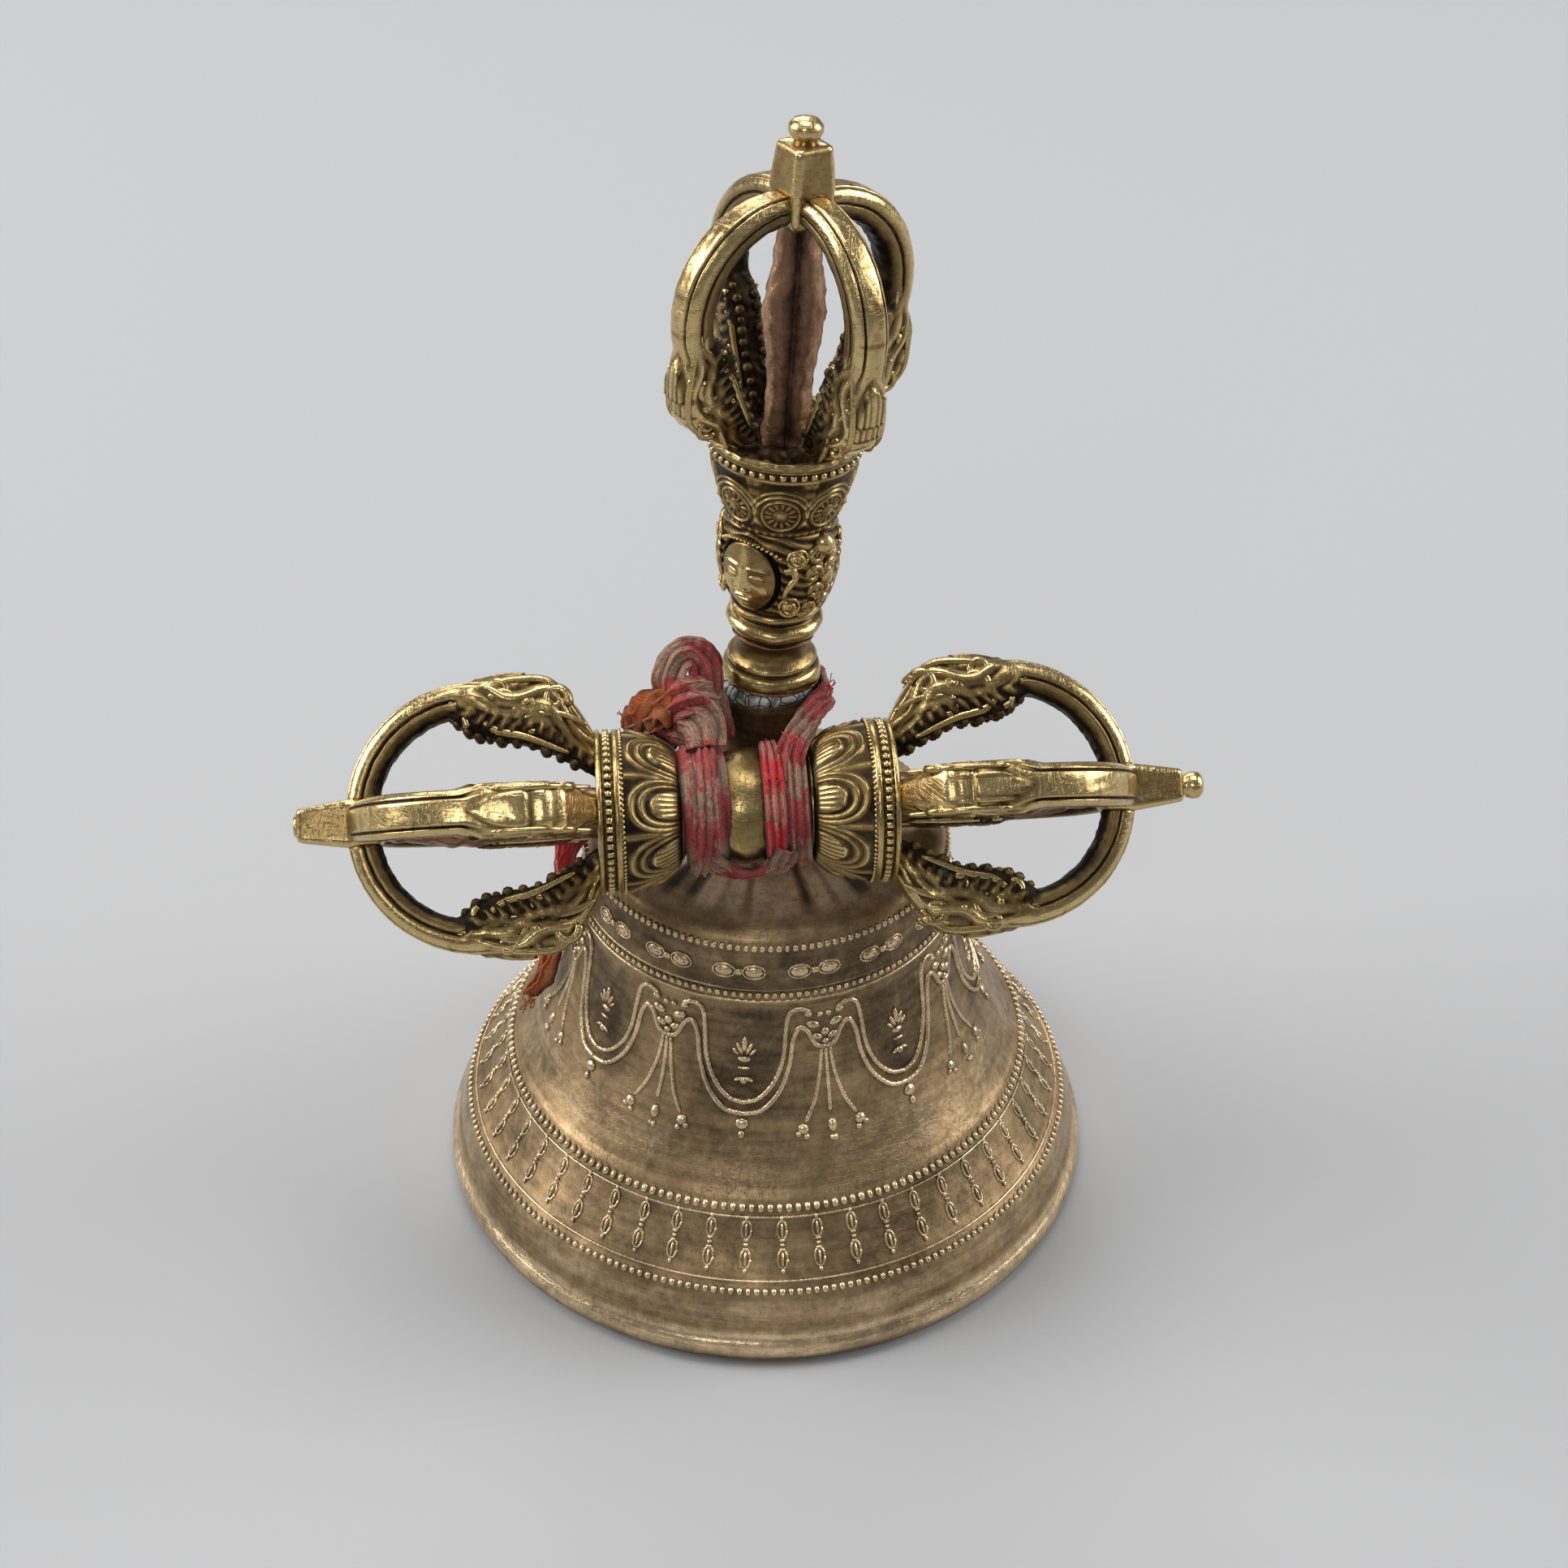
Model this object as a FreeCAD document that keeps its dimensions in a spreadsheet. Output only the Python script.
import FreeCAD, Part
import math
import os
import Sketcher
from FreeCAD import Placement, Rotation, Vector

# Ritual hand bell with a half-vajra handle, and a full vajra tied across its neck.
# Millimetres and degrees. The bell stands on its rim: Z is the bell's axis, the rim plane is Z = 0.

SIZES = [
    # bell shell, outside
    ("rest_inner_radius", 43.4, "inner edge of the flat ring that the bell stands on"),
    ("rest_outer_radius", 45.6, "outer edge of that ring"),
    ("lip_radius", 47.5, "widest point of the lip"),
    ("lip_level", 2.2, "height of the widest point"),
    ("lip_round", 2.3, "rounding under the lip"),
    ("lip_swell", 22.0, "radius of the swollen band above the lip"),
    ("band_radius", 44.1, "top of the lip band"),
    ("band_level", 11.4, "height of the lip band's top"),
    ("flare_radius", 37.65, "foot of the waist curve"),
    ("flare_level", 20.6, "height of the foot of the waist curve"),
    ("waist_curve", 47.5, "radius of the waist curve, seen from the side"),
    ("waist_radius", 28.7, "top of the waist curve"),
    ("waist_level", 37.3, "height of the waist curve's top"),
    ("shoulder_radius", 25.2, "edge of the crown"),
    ("shoulder_level", 55.9, "height of the crown's edge"),
    ("shoulder_round", 2.6, "rounding of the crown's edge"),
    ("crown_radius", 23.2, "where the domed crown begins"),
    ("crown_level", 58.3, "height at which the domed crown begins"),
    ("crown_dome", 62.0, "radius of the crown's dome, seen from the side"),
    ("neck_radius", 6.6, "socket neck, outside"),
    ("neck_foot_level", 60.8, "where the neck meets the crown"),
    ("neck_top_level", 81.8, "top of the socket neck"),
    ("neck_bore_radius", 5.3, "socket bore"),
    ("neck_floor_level", 61.0, "floor of the socket"),
    # bell shell, inside
    ("staple_shank_radius", 1.3, "clapper staple through the crown"),
    ("ceiling_level", 57.6, "underside of the crown at its centre"),
    ("ceiling_radius", 20.6, "edge of the ceiling"),
    ("ceiling_edge_level", 55.4, "height of the ceiling's edge"),
    ("inner_shoulder_radius", 22.2, "inside of the shoulder"),
    ("inner_shoulder_level", 53.4, "height inside the shoulder"),
    ("inner_waist_radius", 25.6, "inside of the waist"),
    ("inner_waist_level", 36.6, "height inside the waist"),
    ("inner_flare_radius", 34.2, "inside of the flare"),
    ("inner_flare_level", 20.0, "height inside the flare"),
    ("inner_band_radius", 40.6, "inside of the sound bow"),
    ("inner_band_level", 10.6, "height inside the sound bow"),
    # clapper and its staple
    ("eye_ring_radius", 2.7, "staple eye, to the middle of its wire"),
    ("eye_wire_radius", 1.0, "wire of the staple eye and of the clapper eye"),
    ("link_ring_radius", 3.4, "loose link, to the middle of its wire"),
    ("link_wire_radius", 0.8, "wire of the loose link"),
    ("wire_play", 0.12, "play between two hooked wires"),
    ("link_pivot_level", 50.5, "lowest wire of the staple eye, where the link swings"),
    ("rove_radius", 2.4, "rivet washer under the crown"),
    ("rove_thickness", 0.8, "thickness of that washer"),
    ("staple_top_level", 65.0, "clenched end of the staple, inside the socket"),
    ("clapper_rod_radius", 1.5, "clapper rod"),
    ("striker_level", 12.5, "middle of the striker"),
    ("striker_radius", 6.0, "striker"),
    ("striker_rise", 6.4, "half the striker's height"),
    ("nipple_radius", 1.6, "button under the striker"),
    ("nipple_level", 3.6, "underside of the button"),
    # handle, measured along its own leaning axis from the handle base
    ("handle_base_x", 0.2, "handle base, beside the bell's axis"),
    ("handle_base_z", 80.0, "handle base, above the rim"),
    ("handle_lean", 2.9, "lean of the handle towards +X"),
    ("tenon_radius", 4.0, "tenon in the socket"),
    ("tenon_low", -12.0, "underside of the tenon"),
    ("foot_low", 3.7, "underside of the lower collar"),
    ("foot_radius", 6.1, "lower collar at its underside"),
    ("foot_bulge_radius", 6.5, "lower collar, widest"),
    ("foot_bulge", 5.5, "height of its widest point"),
    ("stem_waist_radius", 4.6, "waist between the collars"),
    ("stem_waist", 8.6, "height of that waist"),
    ("collar_radius", 6.1, "upper collar, widest"),
    ("collar_level", 12.6, "height of the upper collar"),
    ("collar_top_radius", 5.3, "cup above the upper collar"),
    ("stem_top_radius", 5.6, "bead rings under the head"),
    ("stem_bead", 13.9, "underside of the bead rings"),
    ("stem_top", 15.3, "top of the stem"),
    ("chin_radius", 6.0, "underside of the head"),
    ("cheek_radius", 7.6, "head, widest"),
    ("cheek_level", 22.0, "height of the head's widest point"),
    ("brow_line_radius", 6.8, "top of the head"),
    ("head_top", 27.9, "height of the head's top"),
    ("face_radius", 4.6, "half the width of the face pad"),
    ("face_height", 5.6, "half the height of the face pad"),
    ("face_out", 3.9, "how far the face pad's middle lies from the axis"),
    ("face_azimuth", 235.0, "direction the face looks, round the handle"),
    ("ear_radius", 2.0, "ear discs"),
    ("ear_reach", 7.9, "outer face of the ear discs"),
    ("bun_out", 5.2, "hair roll at the back of the head"),
    ("bun_radius", 3.0, "its half width"),
    ("crown_swell", 14.0, "radius of the lotus crown's curve, seen from the side"),
    ("crown_rim_radius", 9.7, "rim of the lotus crown"),
    ("crown_rim_low", 38.2, "underside of the rim"),
    ("crown_top", 39.6, "top of the lotus crown"),
    # cage of the handle: one prong's side view, radius from the axis and level along it
    ("cage_azimuth", 34.0, "direction of the first prong"),
    ("cage_width", 4.4, "width of a prong"),
    ("cage_foot_inner", 4.6, "prong foot, inner edge"),
    ("cage_foot_outer", 9.2, "prong foot, outer edge"),
    ("cage_foot_level", 39.6, "prong foot"),
    ("cage_snout_radius", 15.6, "mask, lower corner"),
    ("cage_snout_level", 44.2, "mask, lower corner"),
    ("cage_brow_radius", 16.4, "mask, upper corner"),
    ("cage_brow_level", 53.0, "mask, upper corner"),
    ("cage_arch", 14.0, "radius of the prong's outer curve"),
    ("cage_tip_radius", 2.8, "prong tip, against the finial"),
    ("cage_tip_top", 71.0, "prong tip, upper edge"),
    ("cage_tip_low", 67.3, "prong tip, lower edge"),
    ("cage_bend", 10.0, "radius of the prong's inner curve"),
    ("cage_throat_radius", 12.1, "foot of the inner curve"),
    ("cage_throat_level", 55.4, "foot of the inner curve"),
    ("cage_chin_radius", 9.4, "mask, inner upper corner"),
    ("cage_chin_level", 52.6, "mask, inner upper corner"),
    ("cage_jaw_radius", 8.4, "mask, inner lower corner"),
    ("cage_jaw_level", 47.0, "mask, inner lower corner"),
    ("core_foot_radius", 2.7, "centre prong at its foot"),
    ("core_middle_radius", 3.5, "centre prong at its swelling"),
    ("core_middle", 54.0, "height of the swelling"),
    ("core_top_radius", 2.6, "centre prong at its top"),
    ("finial_low_half", 3.1, "half the width of the finial block at its foot"),
    ("finial_taper", -8.0, "slope of its sides"),
    ("finial_height", 5.5, "height of the block"),
    ("knob_radius", 2.1, "finial knob"),
    ("knob_height", 3.0, "height of the knob"),
    # vajra, measured along its own axis from the middle of its hub
    ("vajra_x", -2.9, "middle of the hub"),
    ("vajra_y", -15.8, "middle of the hub"),
    ("vajra_z", 72.7, "middle of the hub"),
    ("vajra_yaw", 4.8, "turn of the vajra, right end back"),
    ("vajra_azimuth", 40.0, "how far the front prong points above the level"),
    ("hub_radius", 7.7, "hub ball"),
    ("hub_far_end", -8.5, "the hub's far end, as far back as the lotus cup is ahead"),
    ("hub_far_neck", -5.2, "where the far neck ends at the ball"),
    ("hub_neck_radius", 5.0, "plain neck each side of the ball"),
    ("hub_neck_start", 5.2, "where that neck begins"),
    ("lotus_start", 8.5, "hub side of the lotus cup"),
    ("lotus_foot_radius", 7.2, "lotus cup at the hub side"),
    ("lotus_swell", 9.5, "radius of the lotus cup's curve, seen from the side"),
    ("lotus_mouth_radius", 10.3, "lotus cup at its mouth"),
    ("lotus_mouth", 15.9, "where the cup ends"),
    ("rim_radius", 10.8, "beaded rim"),
    ("rim_start", 16.3, "beaded rim, inner side"),
    ("rim_end", 19.1, "beaded rim, outer side"),
    ("arm_width", 5.6, "width of a prong"),
    ("arm_foot_inner", 4.6, "prong foot, inner edge"),
    ("arm_foot_outer", 10.2, "prong foot, outer edge"),
    ("arm_foot_level", 19.1, "prong foot"),
    ("arm_snout_radius", 17.2, "mask, inner corner"),
    ("arm_snout_level", 23.6, "mask, inner corner"),
    ("arm_brow_radius", 17.7, "mask, outer corner"),
    ("arm_brow_level", 33.0, "mask, outer corner"),
    ("arm_arch", 17.0, "radius of the prong's outer curve"),
    ("arm_tip_radius", 2.9, "prong tip, against the tip block"),
    ("arm_tip_top", 51.2, "prong tip, outer edge"),
    ("arm_tip_low", 47.1, "prong tip, inner edge"),
    ("arm_bend", 12.4, "radius of the prong's inner curve"),
    ("arm_throat_radius", 12.7, "foot of the inner curve"),
    ("arm_throat_level", 38.4, "foot of the inner curve"),
    ("arm_chin_radius", 10.4, "mask, far corner"),
    ("arm_chin_level", 35.2, "mask, far corner"),
    ("arm_jaw_radius", 9.6, "mask, near corner"),
    ("arm_jaw_level", 27.5, "mask, near corner"),
    ("spine_foot_radius", 3.0, "centre prong at its foot"),
    ("spine_middle_radius", 3.4, "centre prong at its swelling"),
    ("spine_middle", 34.0, "place of the swelling"),
    ("spine_top_radius", 2.6, "centre prong at its tip"),
    ("tip_low_half", 3.1, "half the width of a tip block at its foot"),
    ("tip_taper", -8.5, "slope of its sides"),
    ("tip_length", 6.4, "length of a tip block"),
    ("left_nose_radius", 1.6, "blunt nose of the left tip"),
    ("left_nose_length", 0.6, "its length"),
    ("right_nose_radius", 1.8, "round knob of the right tip"),
    ("right_nose_length", 3.1, "its length"),
    # cloth strip
    ("wrap_inner_radius", 6.7, "turns round the vajra, inside"),
    ("wrap_outer_radius", 8.3, "turns round the vajra, outside"),
    ("wrap_near", 3.9, "hub side of a wrap"),
    ("wrap_far", 8.2, "lotus side of a wrap"),
    ("loop_inner_radius", 7.1, "turn round the bell's neck, inside"),
    ("loop_outer_radius", 8.4, "turn round the bell's neck, outside"),
    ("loop_low", 73.5, "underside of that turn"),
    ("loop_high", 81.5, "top of that turn"),
    ("loop_sweep", 190.0, "how far it goes round the back of the neck"),
    ("loop_begin", -5.0, "where it begins"),
    ("knot_x", -12.2, "middle of the knot"),
    ("knot_y", -4.2, "middle of the knot"),
    ("knot_z", 83.0, "middle of the knot"),
    ("knot_half_x", 3.4, "half the knot's width"),
    ("knot_half_y", 3.4, "half the knot's depth"),
    ("knot_half_z", 4.6, "half the knot's height"),
    ("patch_x", -17.0, "middle of the orange end of the knot"),
    ("patch_y", -4.6, "middle of the orange end"),
    ("patch_z", 80.6, "middle of the orange end"),
    ("patch_half_x", 1.5, "half its width"),
    ("patch_half_y", 2.2, "half its depth"),
    ("patch_half_z", 2.8, "half its height"),
    ("tail_thickness", 1.2, "folded cloth of the two tails"),
    ("tail_start_radius", 12.0, "red tail, on the crown"),
    ("tail_start_level", 61.0, "red tail, underside there"),
    ("tail_edge_radius", 24.6, "red tail, over the shoulder"),
    ("tail_edge_level", 59.4, "red tail, underside there"),
    ("tail_side_radius", 26.2, "red tail, beside the shoulder"),
    ("tail_side_level", 56.2, "height there"),
    ("tail_low_radius", 27.6, "red tail, lower end"),
    ("tail_low_level", 47.0, "height there"),
    ("tail_azimuth", 182.0, "where the tails begin, round the bell"),
    ("tail_sweep", 16.0, "width of the red tail, as an angle"),
    ("tip_start_radius", 27.9, "orange tail, top"),
    ("tip_start_level", 46.0, "height there"),
    ("tip_mid_radius", 29.2, "orange tail, middle"),
    ("tip_mid_level", 38.0, "height there"),
    ("tip_end_radius", 33.0, "orange tail, lower end"),
    ("tip_end_level", 29.0, "height there"),
    ("tip_sweep", 11.0, "width of the orange tail, as an angle"),
]

doc = FreeCAD.newDocument("RitualBell")
sheet = doc.addObject("Spreadsheet::Sheet", "sizes")
for row, (alias, number, note) in enumerate(SIZES, start=1):
    sheet.set("A%d" % row, note)
    sheet.set("B%d" % row, str(number))
    sheet.setAlias("B%d" % row, alias)
doc.recompute()

parts = []


def amount(words):
    """Number for a sum such as "lip_level + lip_round", read from the sheet."""
    total = 0.0
    sign = 1
    for word in words.split():
        if word in ("+", "-"):
            sign = 1 if word == "+" else -1
        else:
            total += sign * float(getattr(sheet, word))
            sign = 1
    return total


def formula(words):
    """The same sum as an expression on the sheet."""
    return " ".join(word if word in ("+", "-") else "sizes." + word for word in words.split())


def bind(thing, path, words):
    thing.setExpression(path, formula(words))


def keep(thing, label, placement=None):
    """Adds a finished sub-part under its own name and place."""
    thing.Label = label
    if placement is not None:
        thing.Placement = placement
    parts.append(thing)
    return thing


def new_body(name):
    return doc.addObject("PartDesign::Body", name)


def origin_plane(body, role):
    return next(item for item in body.Origin.OriginFeatures if item.Role == role)


def arc_middle(start, end, radius, side):
    """Middle point of the arc from start to end; side 1 bulges left of the way there, -1 right."""
    chord = end - start
    half = chord.Length / 2
    rise = radius - math.sqrt(radius * radius - half * half)
    left = Vector(-chord.y, chord.x, 0).normalize()
    return (start + end) * 0.5 + left * (side * rise)


def outline(body, name, role, corners):
    """Closed sketch through corners (x, y, [radius, side]): sums bound to the sheet, "" is zero.

    A radius makes the edge from its corner to the next one an arc.
    """
    sketch = body.newObject("Sketcher::SketchObject", name)
    sketch.AttachmentSupport = [(origin_plane(body, role), "")]
    sketch.MapMode = "FlatFace"
    places = [Vector(amount(corner[0]), amount(corner[1]), 0) for corner in corners]
    starts = []
    ends = []
    for index, corner in enumerate(corners):
        here = places[index]
        there = places[(index + 1) % len(corners)]
        if len(corner) == 4:
            middle = arc_middle(here, there, amount(corner[2]), corner[3])
            edge = sketch.addGeometry(Part.Arc(here, middle, there))
            radius = sketch.addConstraint(Sketcher.Constraint("Radius", edge, amount(corner[2])))
            bind(sketch, "Constraints[%d]" % radius, corner[2])
        else:
            edge = sketch.addGeometry(Part.LineSegment(here, there))
        begins = 1 if sketch.getPoint(edge, 1).distanceToPoint(here) < 1e-6 else 2
        starts.append((edge, begins))
        ends.append((edge, 3 - begins))
    for index, corner in enumerate(corners):
        sketch.addConstraint(Sketcher.Constraint("Coincident", *ends[index - 1], *starts[index]))
        for axis, kind, words in ((-2, "DistanceX", corner[0]), (-1, "DistanceY", corner[1])):
            if words:
                step = Sketcher.Constraint(kind, -1, 1, *starts[index], amount(words))
                bind(sketch, "Constraints[%d]" % sketch.addConstraint(step), words)
            else:
                sketch.addConstraint(Sketcher.Constraint("PointOnObject", *starts[index], axis))
    return sketch


def revolve(body, name, corners, sweep=None):
    """Turns a side view about the body's Z axis: a full turn, or the named sweep."""
    sketch = outline(body, name + "_outline", "XZ_Plane", corners)
    turn = body.newObject("PartDesign::Revolution", name)
    turn.Profile = sketch
    turn.ReferenceAxis = (sketch, ["V_Axis"])
    if sweep:
        bind(turn, "Angle", sweep)
    else:
        turn.Angle = 360.0
    body.Tip = turn
    return turn


def lean_placement():
    base = Vector(amount("handle_base_x"), 0, amount("handle_base_z"))
    return Placement(base, Rotation(Vector(0, 1, 0), amount("handle_lean")))


def vajra_placement(side):
    """Local Z runs outwards along the vajra's axis: side 1 to the right, -1 to the left."""
    base = Vector(amount("vajra_x"), amount("vajra_y"), amount("vajra_z"))
    yaw = Rotation(Vector(0, 0, 1), amount("vajra_yaw"))
    return Placement(base, yaw * Rotation(Vector(0, 1, 0), 90 * side))


def turned(placement, angle):
    """The same placement with the piece turned about its own Z first."""
    return placement * Placement(Vector(), Rotation(Vector(0, 0, 1), angle))


def make_bell_body():
    """Bell shell: rest ring, lip, flare, waist, domed crown and socket neck in one casting."""
    body = new_body("bell_body")
    revolve(body, "shell", [
        ("rest_inner_radius", ""),
        ("rest_outer_radius", "", "lip_round", -1),
        ("lip_radius", "lip_level", "lip_swell", -1),
        ("band_radius", "band_level"),
        ("flare_radius", "flare_level", "waist_curve", 1),
        ("waist_radius", "waist_level"),
        ("shoulder_radius", "shoulder_level", "shoulder_round", -1),
        ("crown_radius", "crown_level", "crown_dome", -1),
        ("neck_radius", "neck_foot_level"),
        ("neck_radius", "neck_top_level"),
        ("neck_bore_radius", "neck_top_level"),
        ("neck_bore_radius", "neck_floor_level"),
        ("staple_shank_radius", "neck_floor_level"),
        ("staple_shank_radius", "ceiling_level"),
        ("rove_radius", "ceiling_level"),
        ("ceiling_radius", "ceiling_edge_level"),
        ("inner_shoulder_radius", "inner_shoulder_level"),
        ("inner_waist_radius", "inner_waist_level", "waist_curve", -1),
        ("inner_flare_radius", "inner_flare_level"),
        ("inner_band_radius", "inner_band_level"),
    ])
    keep(body, "bell_body")


def make_ring(name, ring_words, wire_words, centre, upright_axis):
    """Wire ring standing upright, turned about the given axis."""
    ring = doc.addObject("Part::Torus", name)
    bind(ring, "Radius1", ring_words)
    bind(ring, "Radius2", wire_words)
    ring.Placement = Placement(centre, Rotation(upright_axis, 90))
    return ring


def make_rod(name, radius_words, low_words, height_words):
    """Round bar on the Z axis."""
    rod = doc.addObject("Part::Cylinder", name)
    bind(rod, "Radius", radius_words)
    bind(rod, "Height", height_words)
    rod.Placement = Placement(Vector(0, 0, amount(low_words)), Rotation())
    return rod


def hooked(level_words, ring_words):
    """Sum for the middle of a ring that hangs on the wire at the given level."""
    return "%s + eye_wire_radius + link_wire_radius + wire_play - %s" % (level_words, ring_words)


LINK_CENTRE = hooked("link_pivot_level", "link_ring_radius")
CLAPPER_PIVOT = LINK_CENTRE + " - link_ring_radius"
EYE_CENTRE = hooked(CLAPPER_PIVOT, "eye_ring_radius")


def make_staple():
    """Iron staple: an eye under the crown, a rivet washer and a shank clenched in the socket."""
    centre = Vector(0, 0, amount("link_pivot_level + eye_ring_radius"))
    eye = make_ring("staple_eye", "eye_ring_radius", "eye_wire_radius", centre, Vector(1, 0, 0))
    rove = make_rod("staple_rove", "rove_radius", "ceiling_level - rove_thickness", "rove_thickness")
    shank = make_rod("staple_shank", "staple_shank_radius", "link_pivot_level + eye_ring_radius"
                     " + eye_ring_radius", "staple_top_level - link_pivot_level - eye_ring_radius"
                     " - eye_ring_radius")
    staple = doc.addObject("Part::MultiFuse", "clapper_staple")
    staple.Shapes = [eye, rove, shank]
    keep(staple, "clapper_staple")


def make_link():
    """Loose wire link between the staple and the clapper."""
    centre = Vector(0, 0, amount(LINK_CENTRE))
    link = make_ring("clapper_link", "link_ring_radius", "link_wire_radius", centre, Vector(0, 1, 0))
    keep(link, "clapper_link")


def make_clapper():
    """Clapper: an eye, a round rod and a barrel-shaped striker with a button below."""
    centre = Vector(0, 0, amount(EYE_CENTRE))
    eye = make_ring("clapper_eye", "eye_ring_radius", "eye_wire_radius", centre, Vector(1, 0, 0))
    rod_top = EYE_CENTRE + " - eye_ring_radius"
    body = new_body("clapper_shaft")
    revolve(body, "shaft", [
        ("", "nipple_level"),
        ("nipple_radius", "nipple_level"),
        ("nipple_radius", "striker_level - striker_rise"),
        ("nipple_radius + nipple_radius", "striker_level - striker_rise", "striker_rise", -1),
        ("striker_radius", "striker_level", "striker_rise", -1),
        ("nipple_radius + nipple_radius", "striker_level + striker_rise"),
        ("clapper_rod_radius", "striker_level + striker_rise"),
        ("clapper_rod_radius", rod_top),
        ("", rod_top),
    ])
    clapper = doc.addObject("Part::MultiFuse", "clapper")
    clapper.Shapes = [eye, body]
    keep(clapper, "clapper")


def make_stem():
    """Baluster stem: tenon, lower collar, waist, upper collar and the bead rings under the head."""
    body = new_body("handle_stem")
    revolve(body, "baluster", [
        ("", "tenon_low"),
        ("tenon_radius", "tenon_low"),
        ("tenon_radius", "foot_low"),
        ("foot_radius", "foot_low"),
        ("foot_bulge_radius", "foot_bulge"),
        ("stem_waist_radius", "stem_waist"),
        ("collar_radius", "collar_level"),
        ("collar_top_radius", "stem_bead"),
        ("stem_top_radius", "stem_bead"),
        ("stem_top_radius", "stem_top"),
        ("", "stem_top"),
    ])
    keep(body, "handle_stem", lean_placement())


def make_filler():
    """Putty that beds the leaning tenon in the upright socket and shows as a ring under the collar."""
    plug = make_rod("putty_plug", "neck_bore_radius", "neck_floor_level",
                    "neck_top_level - neck_floor_level")
    ring = make_rod("putty_ring", "neck_radius", "neck_top_level", "foot_low")
    blank = doc.addObject("Part::MultiFuse", "putty_blank")
    blank.Shapes = [plug, ring]
    tenon = make_rod("putty_tenon", "tenon_radius", "tenon_low", "foot_low - tenon_low")
    above = make_rod("putty_above", "foot_radius + foot_radius", "foot_low", "stem_waist")
    shank = make_rod("putty_shank", "staple_shank_radius", "neck_floor_level",
                     "staple_top_level - neck_floor_level")
    for piece in (tenon, above):
        piece.Placement = lean_placement() * piece.Placement
    tools = doc.addObject("Part::MultiFuse", "putty_tools")
    tools.Shapes = [tenon, above, shank]
    filler = doc.addObject("Part::Cut", "neck_filler")
    filler.Base = blank
    filler.Tool = tools
    keep(filler, "neck_filler")


def add_ellipsoid(body, name, radii, centre):
    """Ellipsoid added to a body; radii are sums for X, Y and Z."""
    lump = body.newObject("PartDesign::AdditiveEllipsoid", name)
    bind(lump, "Radius2", radii[0])
    bind(lump, "Radius3", radii[1])
    bind(lump, "Radius1", radii[2])
    lump.Placement = Placement(centre, Rotation())
    body.Tip = lump


def make_head():
    """Head: a barrel with a face pad, two ear discs and a roll of hair; +X is the way it looks."""
    body = new_body("handle_head")
    revolve(body, "skull", [
        ("", "stem_top"),
        ("chin_radius", "stem_top"),
        ("cheek_radius", "cheek_level"),
        ("brow_line_radius", "head_top"),
        ("", "head_top"),
    ])
    level = amount("cheek_level")
    add_ellipsoid(body, "face", ("face_radius", "face_radius", "face_height"),
                  Vector(amount("face_out"), 0, level))
    add_ellipsoid(body, "hair_roll", ("bun_radius", "bun_radius", "face_radius"),
                  Vector(-amount("bun_out"), 0, level))
    ears = body.newObject("PartDesign::AdditiveCylinder", "ears")
    bind(ears, "Radius", "ear_radius")
    bind(ears, "Height", "ear_reach + ear_reach")
    ears.Placement = Placement(Vector(0, amount("ear_reach"), level), Rotation(Vector(1, 0, 0), 90))
    body.Tip = ears
    keep(body, "handle_head", turned(lean_placement(), amount("face_azimuth")))


def make_crown():
    """Lotus crown that carries the cage."""
    body = new_body("handle_crown")
    revolve(body, "lotus_cup", [
        ("", "head_top"),
        ("brow_line_radius", "head_top", "crown_swell", -1),
        ("crown_rim_radius", "crown_rim_low"),
        ("crown_rim_radius", "crown_top"),
        ("", "crown_top"),
    ])
    keep(body, "handle_crown", lean_placement())


def make_prong(label, kind, placement):
    """Curved prong with a beast mask at its foot, cut from plate; kind is cage or arm."""
    body = new_body(label)

    def at(place):
        return kind + "_" + place

    sketch = outline(body, "side", "XZ_Plane", [
        (at("foot_inner"), at("foot_level")),
        (at("foot_outer"), at("foot_level")),
        (at("snout_radius"), at("snout_level")),
        (at("brow_radius"), at("brow_level"), at("arch"), -1),
        (at("tip_radius"), at("tip_top")),
        (at("tip_radius"), at("tip_low"), at("bend"), 1),
        (at("throat_radius"), at("throat_level")),
        (at("chin_radius"), at("chin_level")),
        (at("jaw_radius"), at("jaw_level")),
    ])
    plate = body.newObject("PartDesign::Pad", "plate")
    plate.Profile = sketch
    plate.Midplane = True
    bind(plate, "Length", at("width"))
    body.Tip = plate
    keep(body, label, placement)


def make_core(label, kind, foot, top, placement):
    """Straight centre prong, swollen in the middle; kind is core or spine."""
    body = new_body(label)
    revolve(body, "bar", [
        ("", foot),
        (kind + "_foot_radius", foot),
        (kind + "_middle_radius", kind + "_middle"),
        (kind + "_top_radius", top),
        ("", top),
    ])
    keep(body, label, placement)


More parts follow.
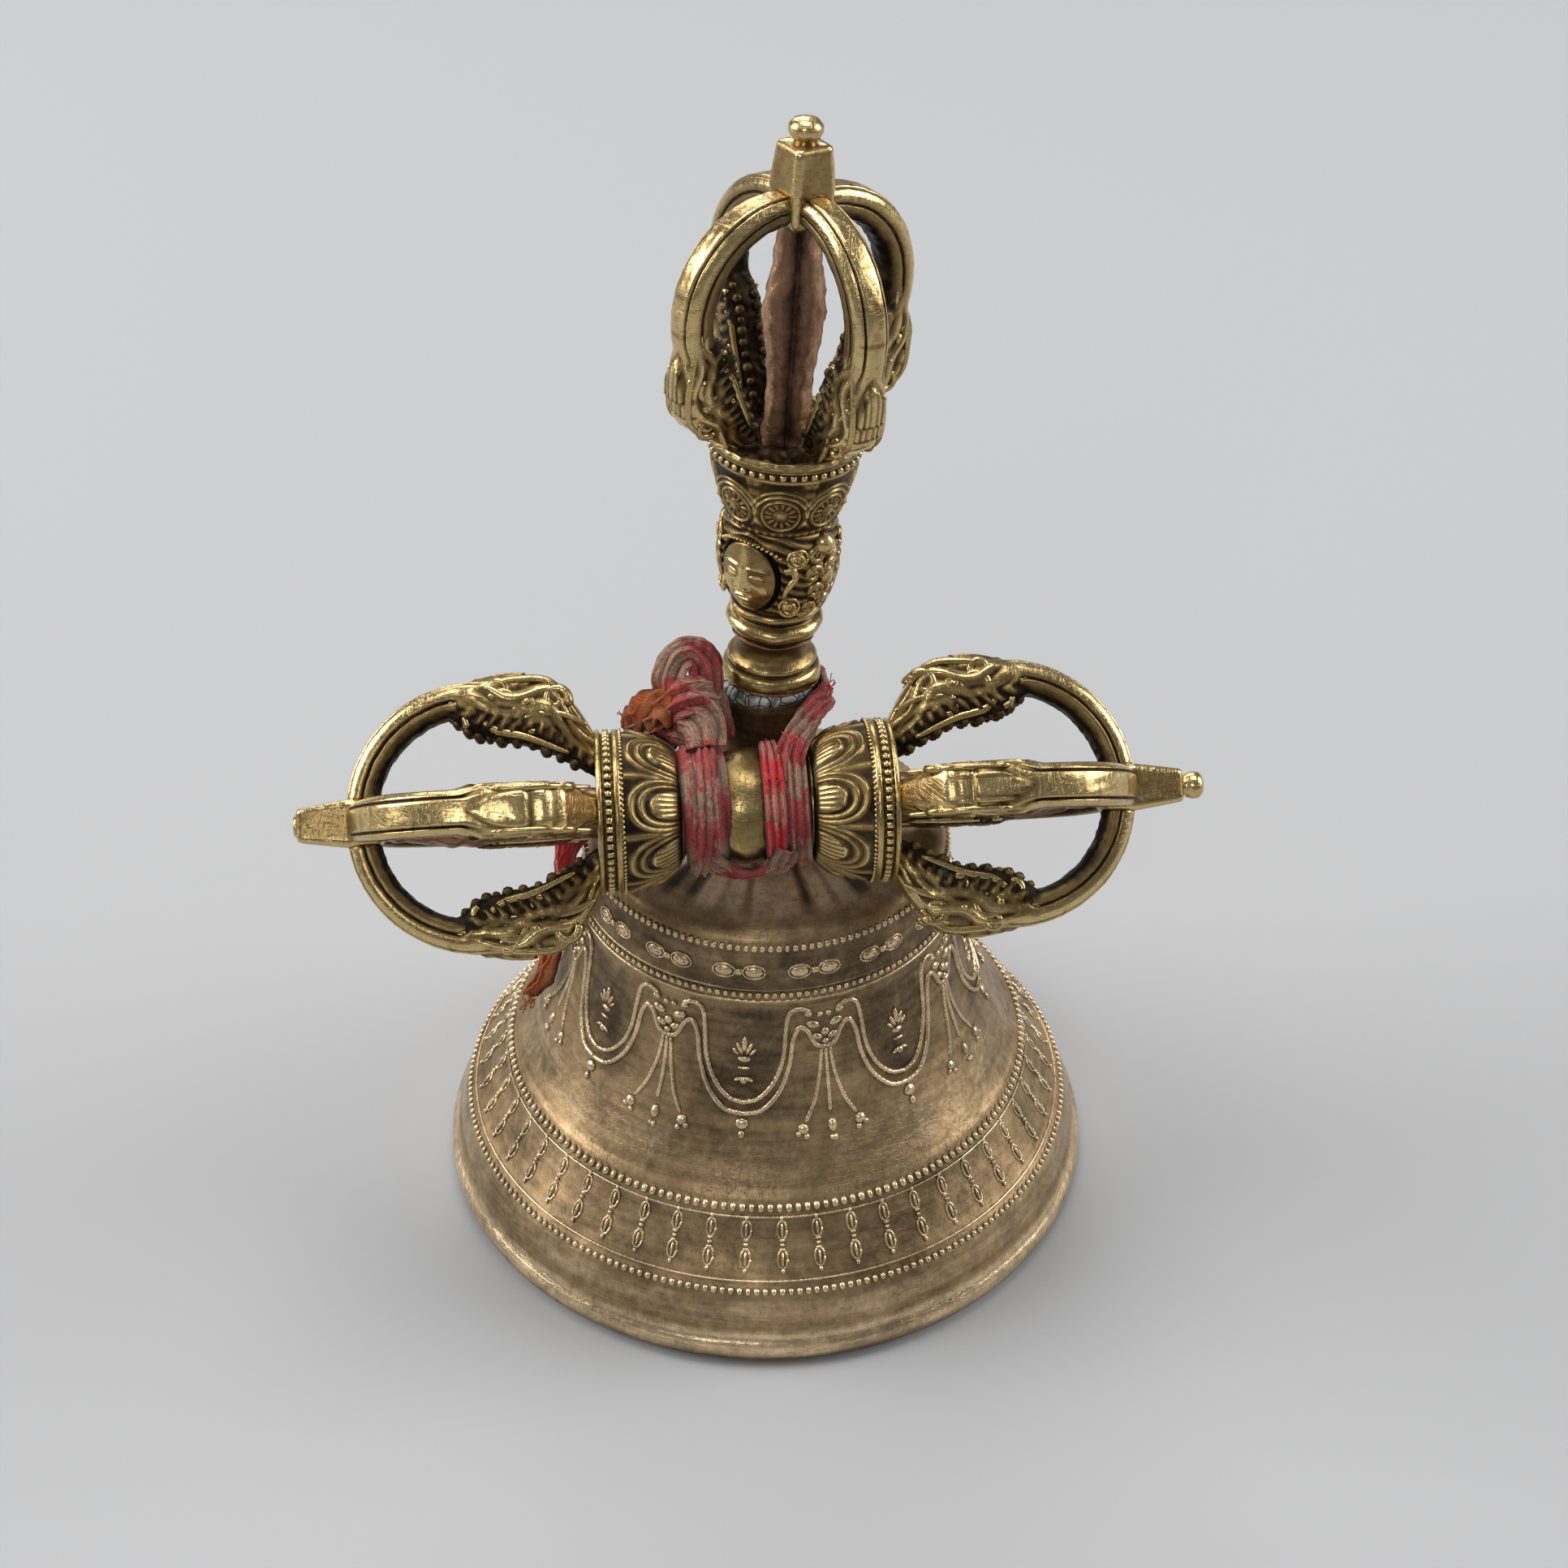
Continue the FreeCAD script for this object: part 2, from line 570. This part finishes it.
def make_tip(label, kind, block, nose, placement):
    """Square block that gathers the prong tips, tapered, with a nose or knob on its end.

    kind gives the prongs' sizes, block the sums for half width, slope and length, nose the sums for
    the nose's radius and length.
    """
    half, taper, length = block
    nose_radius, nose_length = nose
    body = new_body(label)

    def square(name, half_words, level_words, pad_words):
        sketch = body.newObject("Sketcher::SketchObject", name + "_square")
        sketch.AttachmentSupport = [(origin_plane(body, "XY_Plane"), "")]
        sketch.MapMode = "FlatFace"
        bind(sketch, "AttachmentOffset.Base.z", level_words)
        reach = amount(half_words)
        marks = [Vector(x, y, 0) for x, y in
                 ((reach, reach), (-reach, reach), (-reach, -reach), (reach, -reach))]
        for index, mark in enumerate(marks):
            sketch.addGeometry(Part.LineSegment(mark, marks[(index + 1) % 4]))
        for index in range(4):
            sketch.addConstraint(Sketcher.Constraint("Coincident", index - 1 if index else 3, 2,
                                                     index, 1))
            kind_of_edge = "Vertical" if index % 2 else "Horizontal"
            sketch.addConstraint(Sketcher.Constraint(kind_of_edge, index))
        for kind_of_step in ("DistanceX", "DistanceY"):
            corner = Sketcher.Constraint(kind_of_step, -1, 1, 0, 1, reach)
            bind(sketch, "Constraints[%d]" % sketch.addConstraint(corner), half_words)
            corner = Sketcher.Constraint(kind_of_step, 2, 1, -1, 1, reach)
            bind(sketch, "Constraints[%d]" % sketch.addConstraint(corner), half_words)
        pad = body.newObject("PartDesign::Pad", name)
        pad.Profile = sketch
        bind(pad, "Length", pad_words)
        body.Tip = pad
        return pad

    low = kind + "_tip_low"
    top = kind + "_tip_top"
    square("gather", kind + "_tip_radius", low, "%s - %s" % (top, low))
    bind(square("block", half, top, length), "TaperAngle", taper)
    end = "%s + %s" % (top, length)
    revolve(body, "nose", [
        ("", top),
        (nose_radius, top),
        (nose_radius, end),
        (nose_radius, "%s + %s" % (end, nose_length)),
        ("", "%s + %s" % (end, nose_length)),
    ])
    keep(body, label, placement)


def make_handle_cage():
    """Four prongs round a centre prong, gathered by the finial."""
    base = turned(lean_placement(), amount("cage_azimuth"))
    for number in range(4):
        make_prong("handle_prong_%d" % (number + 1), "cage", turned(base, 90 * number))
    make_core("handle_centre_prong", "core", "crown_top", "cage_tip_low", base)
    make_tip("handle_finial", "cage", ("finial_low_half", "finial_taper", "finial_height"),
             ("knob_radius", "knob_height"), base)


def make_hub():
    """Hub ball with a plain neck each side, where the cloth is wrapped."""
    body = new_body("vajra_hub")
    revolve(body, "ball_and_necks", [
        ("", "hub_far_end"),
        ("hub_neck_radius", "hub_far_end"),
        ("hub_neck_radius", "hub_far_neck", "hub_radius", -1),
        ("hub_radius", "", "hub_radius", -1),
        ("hub_neck_radius", "hub_neck_start"),
        ("hub_neck_radius", "lotus_start"),
        ("", "lotus_start"),
    ])
    keep(body, "vajra_hub", vajra_placement(1))


def make_vajra_side(name, side, nose):
    """One half of the vajra: lotus cup and beaded rim, four prongs, centre prong and tip."""
    place = vajra_placement(side)
    body = new_body("vajra_lotus_" + name)
    revolve(body, "cup_and_rim", [
        ("", "lotus_start"),
        ("lotus_foot_radius", "lotus_start", "lotus_swell", -1),
        ("lotus_mouth_radius", "lotus_mouth"),
        ("rim_radius", "rim_start"),
        ("rim_radius", "rim_end"),
        ("", "rim_end"),
    ])
    keep(body, "vajra_lotus_" + name, place)
    # the halves' local X points down on the right and up on the left, so their angles run opposite ways
    front = 270 - side * amount("vajra_azimuth")
    for number in range(4):
        spot = turned(place, front - side * 90 * number)
        make_prong("vajra_prong_%s_%d" % (name, number + 1), "arm", spot)
    make_core("vajra_centre_prong_" + name, "spine", "rim_end", "arm_tip_low", place)
    make_tip("vajra_tip_" + name, "arm", ("tip_low_half", "tip_taper", "tip_length"), nose,
             turned(place, front))


def make_wrap(name, side):
    """Turns of cloth round the vajra, between the hub ball and a lotus cup."""
    body = new_body("tie_wrap_" + name)
    revolve(body, "turns", [
        ("wrap_inner_radius", "wrap_near"),
        ("wrap_outer_radius", "wrap_near"),
        ("wrap_outer_radius", "wrap_far"),
        ("wrap_inner_radius", "wrap_far"),
    ])
    keep(body, "tie_wrap_" + name, vajra_placement(side))


def make_sector(label, corners, sweep, azimuth):
    """Cloth lying round the bell or its neck: a side view swept part of a turn."""
    body = new_body(label)
    revolve(body, "strip", corners, sweep)
    keep(body, label, Placement(Vector(), Rotation(Vector(0, 0, 1), azimuth)))


def make_lump(label, prefix):
    """Rounded bunch of cloth; prefix gives its place and half sizes."""
    lump = doc.addObject("Part::Ellipsoid", label)
    for field, axis in (("Radius2", "x"), ("Radius3", "y"), ("Radius1", "z")):
        bind(lump, field, "%s_half_%s" % (prefix, axis))
    centre = Vector(*(amount("%s_%s" % (prefix, axis)) for axis in "xyz"))
    keep(lump, label, Placement(centre, Rotation()))


def make_cloth():
    """Cloth strip: wraps, turn round the neck, knot with its orange end, and two hanging tails."""
    make_wrap("left", -1)
    make_wrap("right", 1)
    make_sector("tie_neck_loop", [
        ("loop_inner_radius", "loop_low"),
        ("loop_outer_radius", "loop_low"),
        ("loop_outer_radius", "loop_high"),
        ("loop_inner_radius", "loop_high"),
    ], "loop_sweep", amount("loop_begin"))
    make_lump("tie_knot", "knot")
    make_lump("tie_knot_end", "patch")
    make_sector("tie_tail_red", [
        ("tail_start_radius", "tail_start_level"),
        ("tail_edge_radius", "tail_edge_level"),
        ("tail_side_radius", "tail_side_level"),
        ("tail_low_radius", "tail_low_level"),
        ("tail_low_radius + tail_thickness", "tail_low_level"),
        ("tail_side_radius + tail_thickness", "tail_side_level"),
        ("tail_edge_radius", "tail_edge_level + tail_thickness"),
        ("tail_start_radius", "tail_start_level + tail_thickness"),
    ], "tail_sweep", amount("tail_azimuth"))
    make_sector("tie_tail_orange", [
        ("tip_start_radius", "tip_start_level"),
        ("tip_mid_radius", "tip_mid_level"),
        ("tip_end_radius", "tip_end_level"),
        ("tip_mid_radius + tail_thickness", "tip_mid_level"),
        ("tip_start_radius + tail_thickness", "tip_start_level"),
    ], "tip_sweep", amount("tail_azimuth"))


def check_and_write():
    doc.recompute()
    faults = [item.Label for item in doc.Objects if {"Invalid", "Error"} & set(item.State)]
    for part in parts:
        if part.Shape.isNull() or not part.Shape.isValid() or len(part.Shape.Solids) != 1:
            faults.append(part.Label)
    if faults:
        raise SystemExit("failed: " + ", ".join(sorted(set(faults))))
    os.makedirs("parts", exist_ok=True)
    for part in parts:
        part.Shape.exportStep("parts/%s.step" % part.Label)
        print(part.Label, round(part.Shape.Volume, 1), "mm3")


make_bell_body()
make_staple()
make_link()
make_clapper()
make_stem()
make_filler()
make_head()
make_crown()
make_handle_cage()
make_hub()
make_vajra_side("left", -1, ("left_nose_radius", "left_nose_length"))
make_vajra_side("right", 1, ("right_nose_radius", "right_nose_length"))
make_cloth()
check_and_write()
